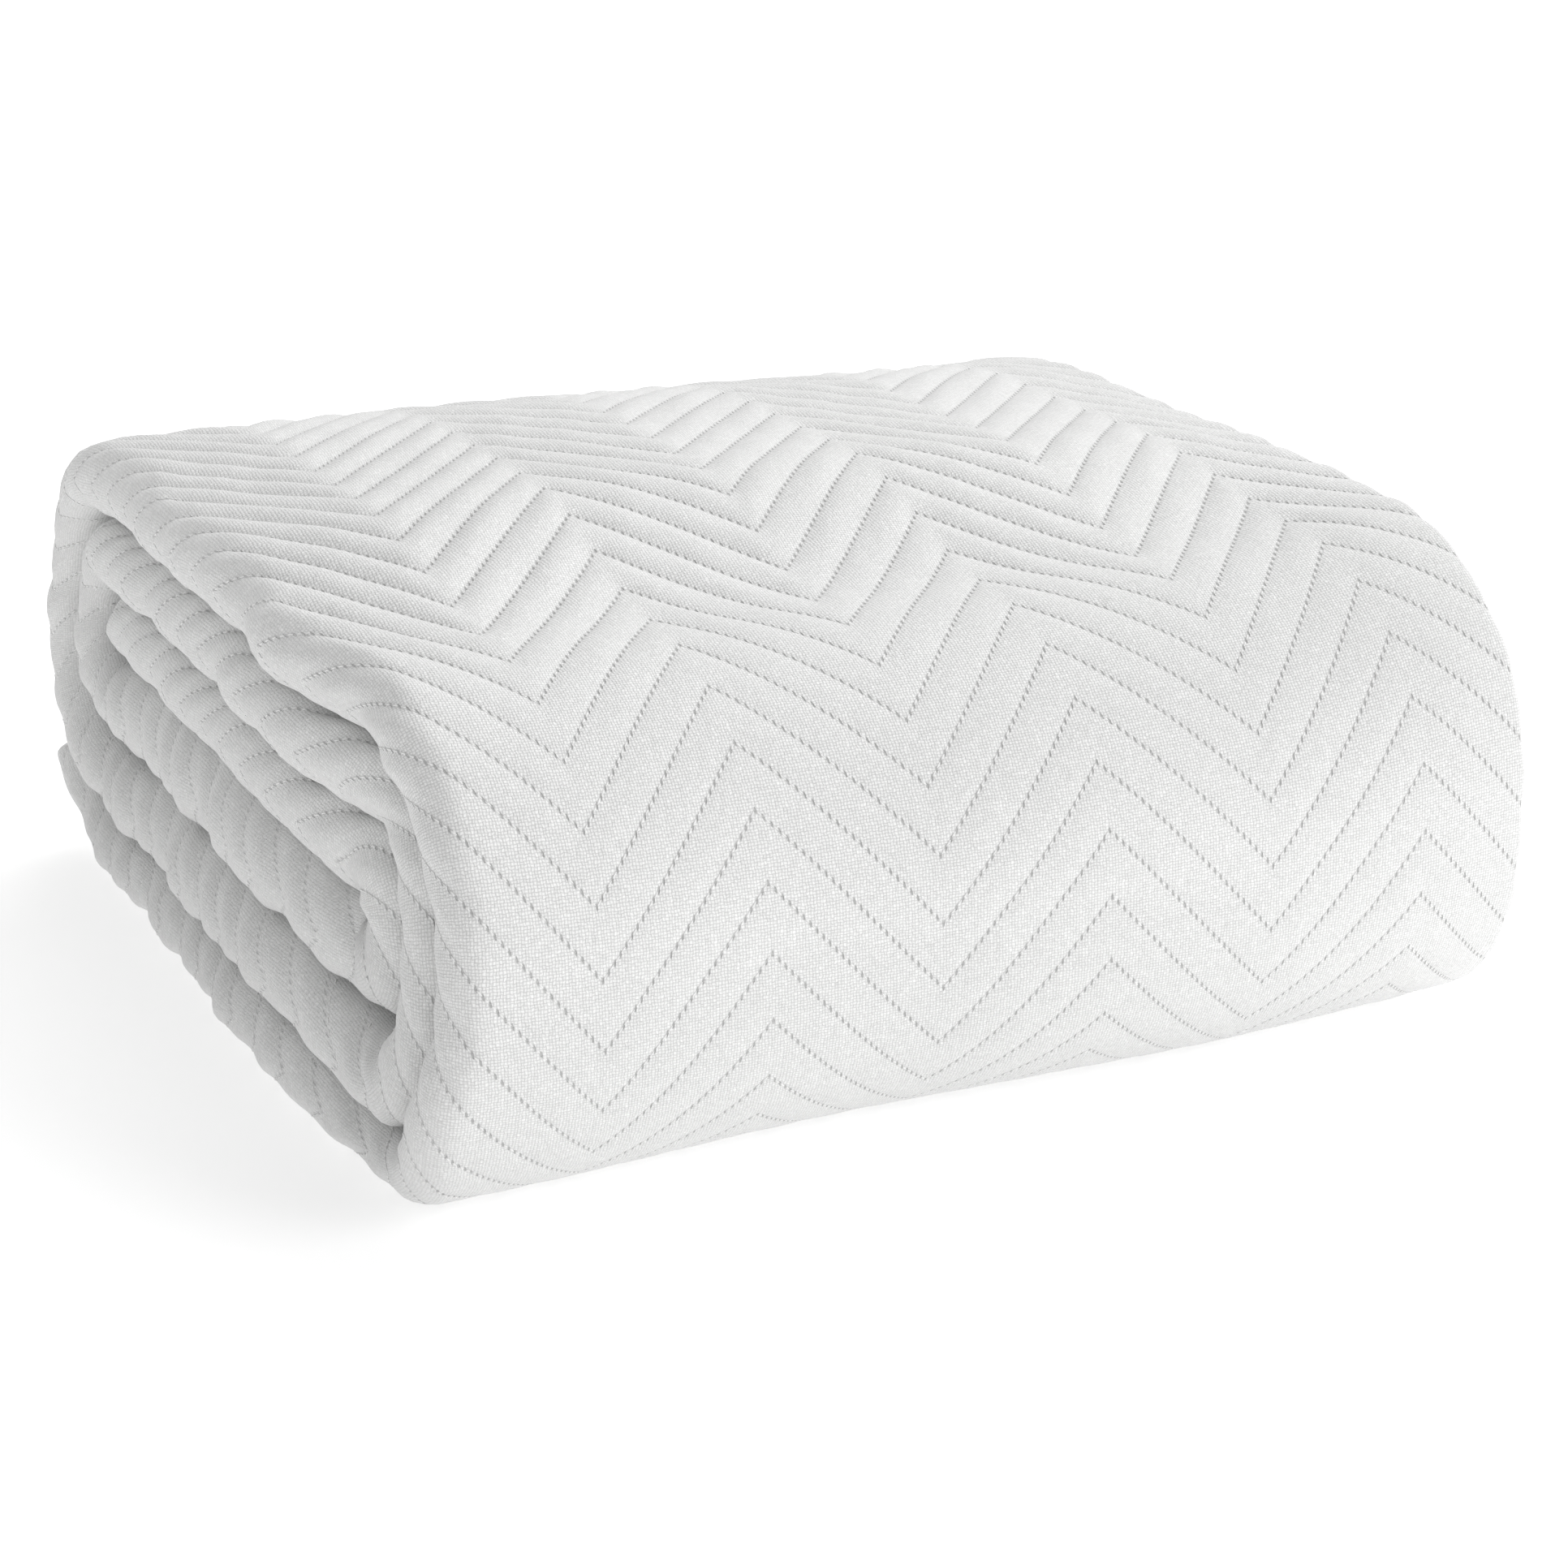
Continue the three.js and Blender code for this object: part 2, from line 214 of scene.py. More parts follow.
SLACK_WAVES = [(0.5, 0.117, 0.9), (0.4, 0.071, 2.2), (0.4, 0.043, 5.0)]
DEPTH_WAVES = [(0.5, 0.133, 1.9), (0.5, 0.059, 0.3)]
LIP_WAVES = [(0.5, 0.171, 0.4), (0.35, 0.083, 2.1), (0.25, 0.047, 4.0)]
HEM_WAVES = [(0.6, 0.310, 1.1), (0.3, 0.140, 3.0), (0.2, 0.066, 0.2)]
SECOND_HEM_WAVES = [(0.6, 0.270, 4.1), (0.3, 0.120, 1.3), (0.2, 0.071, 2.9)]
FOLD_WAVES = [(0.6, 0.350, 2.6), (0.3, 0.160, 5.1), (0.2, 0.058, 1.7)]
FACE_WAVES = [(0.5, 0.210, 0.7), (0.3, 0.093, 2.0)]

HEM_THIN = 0.10               # by what share the band is thinner at its hems
LIP_SLACK = 0.0010            # how far the lips are uneven
LIP_SWAY = 0.0016             # how far they sway to the left and right
FACE_SWELL = 0.0020           # how much fuller the top is in its middle
FACE_UNEVEN = 0.0005          # how far it is uneven


# The front wall stands squarely on its foot: how far that reaches out, up to what height, the run
# of y over which it comes in, and by what share and from what x it reaches less far at the right
FOOT = {"reach": 0.0285, "height": 0.088, "run": (-0.060, -0.150), "less": 0.3, "from": 0.280}

# The inner loops at the front have sunk: how far, and where that comes in and fades
SUNK = {"forward": 0.0035, "down": 0.0080, "middle": 0.087, "rim": (0.050, 0.087)}
SUNK_RUN = {"y": (-0.070, -0.150), "z": (0.070, 0.125)}

# By what shares of its height the pile is lower at the front, fuller on top and lower at the back
DROP = {"all": 0.050, "right": 0.005, "middle": 0.066, "hems": 0.032}
DROP_RUN = {"y": (-0.020, -0.130), "hems": 0.330}
CROWN = {"more": 0.020, "from": (-0.130, -0.020), "to": (0.06, 0.18)}
SAG = {"all": 0.04, "run": (0.090, 0.230), "right": 0.024, "right_run": (0.080, 0.170)}
SAG_RIGHT = {"x": (0.050, 0.220), "less": 0.7, "hems": 0.360}
RIPPLE = {"more": 0.004, "run": 0.041, "start": 1.3}

# How far the left end leans to the right, at the front and at the back, and how far the low part
# of the back stands out to the left
LEAN = {"front": 0.006, "back": -0.004, "run": (-0.200, -0.020), "fade": 0.120}
PUSHED_OUT = {"far": 0.0035, "y": (0.140, 0.190), "z": (0.080, 0.115), "x": (0, 0.050)}

# How far the right part is set back, and how far the low back wall is filled out
SET_BACK = {"first": 0.015, "more": 0.003, "from": 0.190}
FULL = {"left": 0.012, "less": 0.006, "y": (0.130, 0.210)}
FULL_RUN = {"low": (0.015, 0.045), "high": (0.060, 0.130)}

# How far the fold has crept along the cloth at the front walls, and where
SLIP = {"far": 0.010, "y": (-0.080, -0.160), "z": (0.035, 0.100), "x": (0.004, 0.056)}


def settle(x, y, z):
    """The pile's settling: lower and set back at the front, sagging at the back, its end
    leaning."""
    share = np.clip(x / WIDTH, 0, 1)
    from_centre = np.hypot(y - FRONT_CENTRE, z - SUNK["middle"])
    sunk = (1 - smooth(*SUNK["rim"], from_centre)) * smooth(*SUNK_RUN["y"], y)
    sunk = sunk * (1 - smooth(*SUNK_RUN["z"], z))
    y = y - SUNK["forward"] * sunk
    z = z - SUNK["down"] * sunk
    low = np.clip(1 - z / FOOT["height"], 0, 1)
    reach = FOOT["reach"] * (1 - FOOT["less"] * smooth(FOOT["from"], WIDTH, x))
    y = y - reach * low ** 1.5 * smooth(*FOOT["run"], y)
    middle = np.sin(np.pi * share)
    front = smooth(*DROP_RUN["y"], y)
    near_hems = smooth(DROP_RUN["hems"], WIDTH, x)
    drop = DROP["all"] + DROP["right"] * share + DROP["middle"] * middle - DROP["hems"] * near_hems
    drop = drop * front
    crown = CROWN["more"] * middle * smooth(*CROWN["from"], y) * (1 - smooth(*CROWN["to"], y))
    sag = SAG["all"] * smooth(*SAG["run"], y)
    rightward = smooth(*SAG_RIGHT["x"], x)
    rightward = rightward * (1 - SAG_RIGHT["less"] * smooth(SAG_RIGHT["hems"], WIDTH, x))
    sag = sag + SAG["right"] * rightward * smooth(*SAG["right_run"], y)
    ripple = RIPPLE["more"] * (1 - 2 * share) * np.sin(y / RIPPLE["run"] + RIPPLE["start"])
    lean = mix(LEAN["front"], LEAN["back"], smooth(*LEAN["run"], y))
    lean = lean * (1 - smooth(0, LEAN["fade"], x))
    pushed_out = smooth(*PUSHED_OUT["y"], y) * (1 - smooth(*PUSHED_OUT["z"], z))
    pushed_out = pushed_out * (1 - smooth(*PUSHED_OUT["x"], x))
    lean = lean - PUSHED_OUT["far"] * pushed_out
    back = SET_BACK["first"] * smooth(0, SET_BACK["from"], x)
    back = back + SET_BACK["more"] * smooth(SET_BACK["from"], WIDTH, x)
    full = (FULL["left"] - FULL["less"] * share) * smooth(*FULL["y"], y)
    full = full * smooth(*FULL_RUN["low"], z) * (1 - smooth(*FULL_RUN["high"], z))
    return x + lean, y + back + full, z * (1 - drop + crown - sag + ripple)


def slip(s, x):
    """How far the fold has crept along the cloth at the front walls, so that the lip there stands
    further to the right and more of the cloth lies round it."""
    y, z = (np.interp(s, LINE_S, LINE[:, k]) for k in range(2))
    crept = SLIP["far"] * smooth(*SLIP["y"], y) * smooth(*SLIP["z"], z)
    return crept * (1 - smooth(*SLIP["x"], x))


def across(column, s):
    """A column's x, and its place across the cloth, at the lengths s."""
    thick = band_at(s)[4]
    x = column["x"][0] + column["x"][1] * thick
    crept = slip(s, x)
    return x + crept, column["u"][0] + column["u"][1] * thick + crept


def place(column, s, extra=0.0):
    """Where a column's points lie at the lengths s. extra lifts them off the face."""
    y, z, ny, nz, thick, lip = band_at(s)
    x, u = across(column, s)
    h = column["h"] * thick
    h = h * (1 - HEM_THIN * smooth(WIDTH - 0.034, WIDTH + 0.004, x))
    foot = smooth(BOTTOM_START - 0.050, BOTTOM_START - 0.010, s)
    face = column["face"]
    shows = column["shows"] * (mix(1, 1 - foot, face) if face else 1)
    taut = smooth(PHASE - 0.030, PHASE + 0.070, s)
    face_depth = mix(mix(LEFT_DEPTH, TOP_DEPTH, smooth(0.050, 0.160, x)), FRONT_DEPTH, taut)
    lip_depth = LIP_DEPTH * (1 + 0.5 * waves(s, DEPTH_WAVES))
    drawn = pillow(u, s, mix(0.05, mix(0.30, 0.35, taut), face))
    depth = shows * mix(lip_depth, face_depth, face) * drawn
    depth = depth + (1 - face) * shows * LIP_SLACK * waves(s, SLACK_WAVES)
    seen = smooth(BACK_START + 0.020, BACK_START + 0.090, s)
    seen = seen * (1 - smooth(BOTTOM_START - 0.120, BOTTOM_START - 0.045, s))
    if face:
        uneven = waves(s, FACE_WAVES) * np.sin(x / 0.052 + 1)
        uneven = uneven + 0.5 * np.sin(x / 0.031 + s / 0.044)
        pucker = np.sin(x / 0.0041 + 2.5 * np.sin(s / 0.019))
        uneven = uneven + 0.6 * pucker * (1 - drawn) * (1 - taut)
        swell = FACE_SWELL * np.sin(np.pi * np.clip(x / WIDTH, 0, 1))
        depth = depth - (swell + FACE_UNEVEN * uneven) * seen
    end = np.clip(np.minimum(s, LENGTH - s) / END_ROUND, 0, 1)
    inset = END_ROUND * (1 - np.sqrt(1 - (1 - end) ** 2))
    x = x - column["normal"][0] * (depth + inset - extra)
    h = h - column["normal"][1] * (depth + inset - extra)
    near_lip = 1 - smooth(0, 0.060, x)
    x = x + lip * (1 - x / WIDTH) + LIP_SWAY * waves(s, LIP_WAVES) * near_lip
    x = x + column["sway"] * waves(s, column["waves"])
    y = y + ny * h
    z = np.maximum(0, z + nz * h)
    x, y, z = settle(x, y, z)
    return np.stack([x - CENTRE[0], y - CENTRE[1], z], axis=-1), u


def column(x, h, u, normal, **more):
    """One column of the band's section, which runs the whole length of the band. x and u are each
    a length and a share of the thickness, h is a share of it."""
    made = {"x": x, "h": h, "u": u, "normal": normal, "shows": 0.0, "face": 0.0, "offset": None}
    made.update({"sway": 0.0, "waves": HEM_WAVES})
    made.update(more)
    return made


def arc(x, h, radius, turns, u, **more):
    """Columns round an arc, whose radius and centre's height are shares of the thickness."""
    made = []
    for turn in turns:
        a = math.radians(turn)
        out = (math.cos(a), math.sin(a))
        at = (x[0], x[1] + radius * out[0])
        across = (u[0], u[1] - radius * math.radians(turn - turns[0]))
        made.append(column(at, h + radius * out[1], across, out, **more))
    return made


def flat(start, stop, normal, offsets):
    """Columns across a hidden face, between two edges that other columns make."""
    run = abs(stop["x"][0] - start["x"][0])
    count = max(1, round(run / HIDDEN_STEP))
    made = []
    for k in range(1, count):
        t = k / count
        at, across = ([mix(start[key][i], stop[key][i], t) for i in (0, 1)] for key in ("x", "u"))
        height = mix(start["h"], stop["h"], t)
        made.append(column(at, height, across, normal, offset=mix(*offsets, t)))
    return made


LIP_TURNS = [90, 103, 117, 131, 145, 159, 173, 187, 201, 215, 232, 250, 270]
HALF_TURN = [-90, -60, -30, 0, 30, 60, 90]
FOLD = SHEET + SLIT / 2
LIP_END = 0.5 * (1 - math.pi)         # u at the lip's lower end, as a share of the thickness
LOOP = 2 * FOLD                       # the inner loop's width
SECOND_HEM_U = 1.224                  # how far round the cloth the second hem lies
SLIT_END_U = 0.826                    # the slit's end
LOOP_U = 0.836                        # the inner loop
FOLD_END_U = 0.425                    # the inside of the fold under the hems
FOLD_END_OFFSET = 0.055               # how far its rows lie along the band

HEM_OFFSET = ZIG_RISE * float(zig(WIDTH - SHEET / 2 * BEND_THICK))
LIP_OFFSET = ZIG_RISE * float(zig(BEND_THICK / 2))
UNDER_OFFSET = ZIG_RISE * float(zig(LIP_END * BEND_THICK))


def fading(turns, amount=1.0):
    """A show of the quilting that dies away at both ends of an arc."""
    middle = (turns[0] + turns[-1]) / 2
    reach = abs(turns[-1] - turns[0]) / 2
    return [amount * float(1 - smooth(0.6, 1, abs(turn - middle) / reach)) for turn in turns]


def section():
    """The band's section as groups of columns, from the quilted face's right hem round to it
    again. A fine group has rows along the stitching, and a coarse one is hidden."""
    lip = arc((0, 0.5), 0, 0.5, LIP_TURNS, (0, 0.5))
    for made, turn in zip(lip, LIP_TURNS):
        made["shows"] = 1 - float(smooth(235, 270, turn))
        made["face"] = 1 - float(smooth(90, 130, turn))
    fold_u = (-(WIDTH - FOLD_BACK), FOLD + 0.5 + LIP_END)
    fold = arc((WIDTH - FOLD_BACK, -FOLD), FOLD - 0.5, FOLD, HALF_TURN, fold_u)
    hem_mid = 0.5 - SHEET / 2
    hem = arc((WIDTH, -SHEET / 2), hem_mid, SHEET / 2, HALF_TURN, (WIDTH, 0))
    second_mid = SLIT / 2 + SHEET / 2
    second_at = (WIDTH - HEM_BACK, -SHEET / 2)
    second = arc(second_at, second_mid, SHEET / 2, HALF_TURN, (-SECOND_HEM_U, 0))
    for group, amount, sway, pattern in [
        (fold, 0.7, 0.0014, FOLD_WAVES),
        (hem, 0.6, 0.0010, HEM_WAVES),
        (second, 0.6, 0.0013, SECOND_HEM_WAVES),
    ]:
        for made, shows in zip(group, fading(HALF_TURN, amount)):
            made.update(shows=shows, sway=sway, waves=pattern)
    for made, turn in zip(hem, HALF_TURN):
        made["face"] = float(smooth(0, 90, turn))
        made["shows"] = mix(0.6, 1, made["face"]) if turn > -45 else made["shows"]
        made["u"] = (WIDTH, SHEET / 2 * (math.radians(90 - turn) - 1))
        made["offset"] = HEM_OFFSET

    # The hidden edges: the ends of the slits, the inner loop and the inside of the lip
    slit_end = column((0.001, 0.5), 0, (-SLIT_END_U, 0), (1, 0), offset=UNDER_OFFSET)
    fold_end = column((WIDTH - FOLD_BACK, -FOLD), FOLD - 0.5, (-FOLD_END_U, 0), (-1, 0))
    fold_end["offset"] = FOLD_END_OFFSET
    loop = arc((0, 0.5), 0, LOOP / 2, [90, 135, 180, 225, 270], (-LOOP_U, 0))
    inside = arc((0, 0.5), 0, 0.5 - SHEET, [270, 225, 180, 135, 90], (0, LIP_END))
    for made in [*loop, *inside]:
        made["offset"] = UNDER_OFFSET
    for made in inside:
        made["normal"] = (-made["normal"][0], -made["normal"][1])

    fold_offset = ZIG_RISE * 0.85
    second_offset = ZIG_RISE * float(zig(SECOND_HEM_U))
    under = flat(lip[-1], fold[0], (0, -1), (UNDER_OFFSET, fold_offset))
    slit = flat(fold[-1], slit_end, (0, 1), (fold_offset, UNDER_OFFSET))
    slit += [slit_end, *flat(slit_end, second[0], (0, -1), (UNDER_OFFSET, second_offset))]
    inner = flat(second[-1], loop[0], (0, 1), (second_offset, UNDER_OFFSET)) + loop
    inner += flat(loop[-1], fold_end, (0, -1), (UNDER_OFFSET, FOLD_END_OFFSET)) + [fold_end]
    inner += flat(fold_end, inside[0], (0, 1), (FOLD_END_OFFSET, UNDER_OFFSET)) + inside
    inner += flat(inside[-1], hem[0], (0, -1), (UNDER_OFFSET, HEM_OFFSET))
    face = flat(hem[-1], lip[0], (0, 1), (HEM_OFFSET, LIP_OFFSET))
    return [
        ("face", face, False),
        ("lip", lip, True),
        ("under", under, False),
        ("fold", fold, True),
        ("slit", slit, False),
        ("second hem", second, True),
        ("inner", inner, False),
        ("hem", hem, True),
    ]


def end_rows():
    shares = np.array([0, 0.12, 0.4, 1.0])
    return shares * END_ROUND


def fine_rows():
    clear = END_ROUND * 1.6
    count = math.ceil(LENGTH / CHANNEL)
    rows = [PHASE + (k + share) * CHANNEL for k in range(-count, count) for share in FINE_SHARES]
    rows = [row for row in rows if clear < row < LENGTH - clear]
    return np.array([*end_rows(), *rows, *(LENGTH - end_rows()[::-1])])


def coarse_rows():
    rows = [*end_rows()]
    row = rows[-1]
    while True:
        ahead = np.array([row, row + 0.03, row + ZIG_RISE])
        in_bend = np.any(np.abs(np.interp(ahead, LINE_S, LINE[:, 2])) > 0.01)
        row += BEND_STEP if in_bend else STRAIGHT_STEP
        if row > LENGTH - 0.012:
            break
        rows.append(row)
    return np.array([*rows, *(LENGTH - end_rows()[::-1])])


class Sewing:
    """The mesh as it is put together: its points, their places on the cloth, and its faces."""

    def __init__(self):
        self.points = []
        self.cloth = []
        self.faces = []
        self.size = 0

    def column(self, made, rows):
        """Adds a column's points at the rows, and gives back their numbers."""
        s = rows
        for _ in range(3):
            offset = made["offset"]
            if offset is None:
                offset = ZIG_RISE * zig(across(made, s)[1])
            s = rows + offset * row_weight(rows)
        at, u = place(made, s)
        numbers = np.arange(self.size, self.size + len(rows))
        self.points.append(at)
        self.cloth.append(np.stack([u, s], axis=-1))
        self.size += len(rows)
        return numbers

    def quilt(self, a, b):
        """Joins two columns that have the same rows."""
        for i in range(len(a) - 1):
            self.faces.append((a[i], b[i], b[i + 1], a[i + 1]))

    def lace(self, a, rows_a, b, rows_b):
        """Joins two columns whose rows differ, always taking the nearer next point."""
        i = j = 0
        while i < len(a) - 1 or j < len(b) - 1:
            if j == len(b) - 1 or (i < len(a) - 1 and rows_a[i + 1] <= rows_b[j + 1]):
                self.faces.append((a[i], b[j], a[i + 1]))
                i += 1
            else:
                self.faces.append((a[i], b[j], b[j + 1]))
                j += 1

    def patch(self, outline, flat_points):
        """Fills an outline with triangles, cut on its flat places."""
        flat_outline = [Vector((x, y, 0)) for x, y in flat_points]
        for face in tessellate_polygon([flat_outline]):
            self.faces.append(tuple(outline[k] for k in face))


def sew_cloth():
    sewing = Sewing()
    fine = fine_rows()
    coarse = coarse_rows()
    groups = section()
    numbers = {}
    for name, columns, is_fine in groups:
        rows = fine if is_fine else coarse
        numbers[name] = [sewing.column(made, rows) for made in columns]

    # Every group's own faces and its joint with the next, apart from the quilted face's
    for g, (name, columns, is_fine) in enumerate(groups):
        if name == "face":
            continue
        rows = fine if is_fine else coarse
        own = numbers[name]
        for a, b in zip(own, own[1:]):
            sewing.quilt(a, b)
        following = groups[(g + 1) % len(groups)]
        if following[0] != "face":
            next_rows = fine if following[2] else coarse
            sewing.lace(own[-1], rows, numbers[following[0]][0], next_rows)

    # The quilted face shows from the back wall over the top to the foot of the front wall
    first = int(np.argmax(fine > BACK_START - ZIG_RISE - CHANNEL))
    last = int(np.argmax(fine > BOTTOM_START))
    shown = fine[first:last + 1]
    hem = numbers["hem"][-1]
    lip = numbers["lip"][0]
    step = ZIG_HALF / FACE_STEPS
    dense = [hem[first:last + 1]]
    for k in range(math.floor((WIDTH - HEM_CLEAR) / step), 3, -1):
        made = column((k * step, 0), 0.5, (k * step, 0), (0, 1), shows=1.0, face=1.0)
        dense.append(sewing.column(made, shown))
    dense.append(lip[first:last + 1])
    for a, b in zip(dense, dense[1:]):
        sewing.quilt(a, b)

    # Before and after that it is hidden, and coarse. A patch on a flat stretch joins the two
    hidden = numbers["face"]
    inner_last = int(np.sum(coarse < fine[first] - INNER_PATCH)) - 1
    inner_stop = int(np.sum(fine <= coarse[inner_last])) - 1
    outer_first = int(np.argmax(coarse > fine[last] + ZIG_RISE + OUTER_PATCH))
    outer_start = int(np.argmax(fine >= coarse[outer_first]))
    for part, edge in [
        (slice(0, inner_last + 1), slice(0, inner_stop + 1)),
        (slice(outer_first, None), slice(outer_start, None)),
    ]:
        sewing.lace(hem[edge], fine[edge], hidden[0][part], coarse[part])
        for a, b in zip(hidden, hidden[1:]):
            sewing.quilt(a[part], b[part])
        sewing.lace(hidden[-1][part], coarse[part], lip[edge], fine[edge])
    points = np.concatenate(sewing.points)
    inner_outline = [*[made[0] for made in dense], *lip[inner_stop:first][::-1]]
    inner_outline += [made[inner_last] for made in hidden][::-1] + list(hem[inner_stop:first])
    outer_outline = [*[made[-1] for made in dense], *lip[last + 1:outer_start + 1]]
    outer_outline += [made[outer_first] for made in hidden][::-1]
    outer_outline += list(hem[last + 1:outer_start + 1][::-1])
    for outline in (inner_outline, outer_outline):
        sewing.patch(outline, points[outline][:, 0:2])

    # The band's two ends are closed over its section
    ring = [made for name, _, _ in groups for made in numbers[name]]
    shape = [made for _, columns, _ in groups for made in columns]
    for at in (0, -1):
        outline = [int(made[at]) for made in ring]
        section_points = []
        for made in shape:
            x = made["x"][0] + made["x"][1] * BEND_THICK - made["normal"][0] * END_ROUND
            h = made["h"] * BEND_THICK - made["normal"][1] * END_ROUND
            section_points.append((x, h))
        sewing.patch(outline, section_points)

    mesh = bpy.data.meshes.new("quilted_cloth")
    mesh.from_pydata(points.tolist(), [], [tuple(int(v) for v in face) for face in sewing.faces])
    shell = bmesh.new()
    shell.from_mesh(mesh)
    bmesh.ops.recalc_face_normals(shell, faces=shell.faces)
    shell.to_mesh(mesh)
    shell.free()
    used = np.zeros(len(mesh.loops), dtype=np.int32)
    mesh.loops.foreach_get("vertex_index", used)
    cloth_map = mesh.uv_layers.new(name="cloth")
    cloth_map.data.foreach_set("uv", np.concatenate(sewing.cloth)[used].ravel())
    return mesh


def stitch_column(u):
    """The column of the section at u across the cloth: on the face, or round the lip."""
    half = BEND_THICK / 2
    if u >= half:
        return column((u, 0), 0.5, (u, 0), (0, 1), shows=1.0, face=1.0)
    turn = 90 + math.degrees((half - u) / half)
    made = arc((0, 0.5), 0, 0.5, [turn], (u, 0))[0]
    made["shows"] = 1 - float(smooth(235, 270, turn))
    made["face"] = 1 - float(smooth(90, 130, turn))
    return made


def stitch_lines():
    """One open path for each leg of the stitching, with a point where each stitch lies."""
    leg = ZIG_HALF / STITCHES_A_LEG
    lowest = LIP_END * BEND_THICK * 0.93
    corners = [k * ZIG_HALF for k in range(-1, math.ceil(WIDTH / ZIG_HALF) + 1)]
    points = []
    edges = []
    first = math.floor((END_BLEND - PHASE) / CHANNEL)
    last = math.ceil((LENGTH - END_BLEND - PHASE) / CHANNEL)
    for a, b in zip(corners, corners[1:]):
        us = [a + (k + 0.5) * leg for k in range(STITCHES_A_LEG)]
        us = [u for u in us if lowest < u < WIDTH - 0.004]
        for k in range(first, last + 1):
            line = PHASE + k * CHANNEL
            path = []
            for u in us:
                s = line + ZIG_RISE * float(zig(u))
                before = u
                for _ in range(4):
                    before = u - float(slip(s, max(before, 0)))
                on_face = before > BEND_THICK * 0.6
                shown = BACK_START - 0.02 < s < BOTTOM_START - 0.004 or s > TAIL_START
                if UNSEWN < s < LENGTH - UNSEWN and (shown or not on_face):
                    path.append(place(stitch_column(before), np.array(s), THREAD * 0.1)[0])
            if len(path) < 3:
                continue
            base = len(points)
            points += [(float(x), float(y), max(float(z), 1.2 * THREAD)) for x, y, z in path]
            edges += [(base + i, base + i + 1) for i in range(len(path) - 1)]
    mesh = bpy.data.meshes.new("stitch_lines")
    mesh.from_pydata(points, edges, [])
    return mesh


class Tree:
    """A Geometry Nodes tree. Its sizes are given by name, and set by their sockets' identifiers."""

    def __init__(self, name, sizes):
        self.tree = bpy.data.node_groups.new(name, "GeometryNodeTree")
        self.sizes = sizes
        face = self.tree.interface
        face.new_socket("Geometry", in_out="INPUT", socket_type="NodeSocketGeometry")
        face.new_socket("Geometry", in_out="OUTPUT", socket_type="NodeSocketGeometry")
        for label in sizes:
            face.new_socket(label, in_out="INPUT", socket_type="NodeSocketFloat")
        self.inputs = self.tree.nodes.new("NodeGroupInput").outputs

    def node(self, kind, settings=None, sockets=None):
        made = self.tree.nodes.new(kind)
        for key, value in (settings or {}).items():
            setattr(made, key, value)
        for key, value in (sockets or {}).items():
            if isinstance(value, bpy.types.NodeSocket):
                self.tree.links.new(value, made.inputs[key])
            else:
                made.inputs[key].default_value = value
        return made.outputs

    def apply(self, piece):
        modifier = piece.modifiers.new("tree", "NODES")
        modifier.node_group = self.tree
        for item in self.tree.interface.items_tree:
            if item.in_out == "INPUT" and item.name in self.sizes:
                modifier[item.identifier] = self.sizes[item.name]
        shown = piece.evaluated_get(bpy.context.evaluated_depsgraph_get())
        mesh = bpy.data.meshes.new_from_object(shown)
        piece.modifiers.remove(modifier)
        return mesh


def sew_stitches(thread):
    """Every stitch is a short, plump piece of thread between two needle holes."""
    tree = Tree("stitches", {"Thread": THREAD, "Length": STITCH * 0.37})
    lines = tree.node("GeometryNodeMeshToCurve", None, {"Mesh": tree.inputs["Geometry"]})
    bead = tree.node("GeometryNodeMeshIcoSphere", None, {"Radius": 1.0, "Subdivisions": 1})
    size = tree.node(
        "ShaderNodeCombineXYZ",
        None,
        {"X": tree.inputs["Length"], "Y": tree.inputs["Thread"], "Z": tree.inputs["Thread"]},
    )
    along = tree.node("GeometryNodeInputTangent")
    turn = tree.node(
        "FunctionNodeAlignRotationToVector",
        {"axis": "X"},
        {"Vector": along["Tangent"]},
    )
    uneven = tree.node("FunctionNodeRandomValue", None, {2: 0.85, 3: 1.12, "Seed": 7})
    scale = tree.node(
        "ShaderNodeVectorMath",
        {"operation": "SCALE"},
        {0: size["Vector"], "Scale": uneven[1]},
    )
    beads = tree.node(
        "GeometryNodeInstanceOnPoints",
        None,
        {
            "Points": lines["Curve"],
            "Instance": bead["Mesh"],
            "Rotation": turn["Rotation"],
            "Scale": scale["Vector"],
        },
    )
    solid = tree.node("GeometryNodeRealizeInstances", None, {"Geometry": beads["Instances"]})
    dressed = tree.node(
        "GeometryNodeSetMaterial",
        None,
        {"Geometry": solid["Geometry"], "Material": thread},
    )
    end = tree.tree.nodes.new("NodeGroupOutput")
    tree.tree.links.new(dressed["Geometry"], end.inputs["Geometry"])
    lines_piece = bpy.data.objects.new("stitch_lines", stitch_lines())
    bpy.context.collection.objects.link(lines_piece)
    mesh = tree.apply(lines_piece)
    bpy.data.objects.remove(lines_piece)
    mesh.name = "seam_stitches"
    mesh.shade_smooth()
    return mesh


class Amount:
    """A value in a material: a socket that takes part in Python's arithmetic."""

    def __init__(self, recipe, socket):
        self.recipe = recipe
        self.socket = socket

    def __add__(self, other):
        return self.recipe.maths("ADD", self, other)

    def __radd__(self, other):
        return self.recipe.maths("ADD", other, self)

    def __sub__(self, other):
        return self.recipe.maths("SUBTRACT", self, other)

    def __rsub__(self, other):
        return self.recipe.maths("SUBTRACT", other, self)

    def __mul__(self, other):
        return self.recipe.maths("MULTIPLY", self, other)

    def __rmul__(self, other):
        return self.recipe.maths("MULTIPLY", other, self)

    def __truediv__(self, other):
        return self.recipe.maths("DIVIDE", self, other)


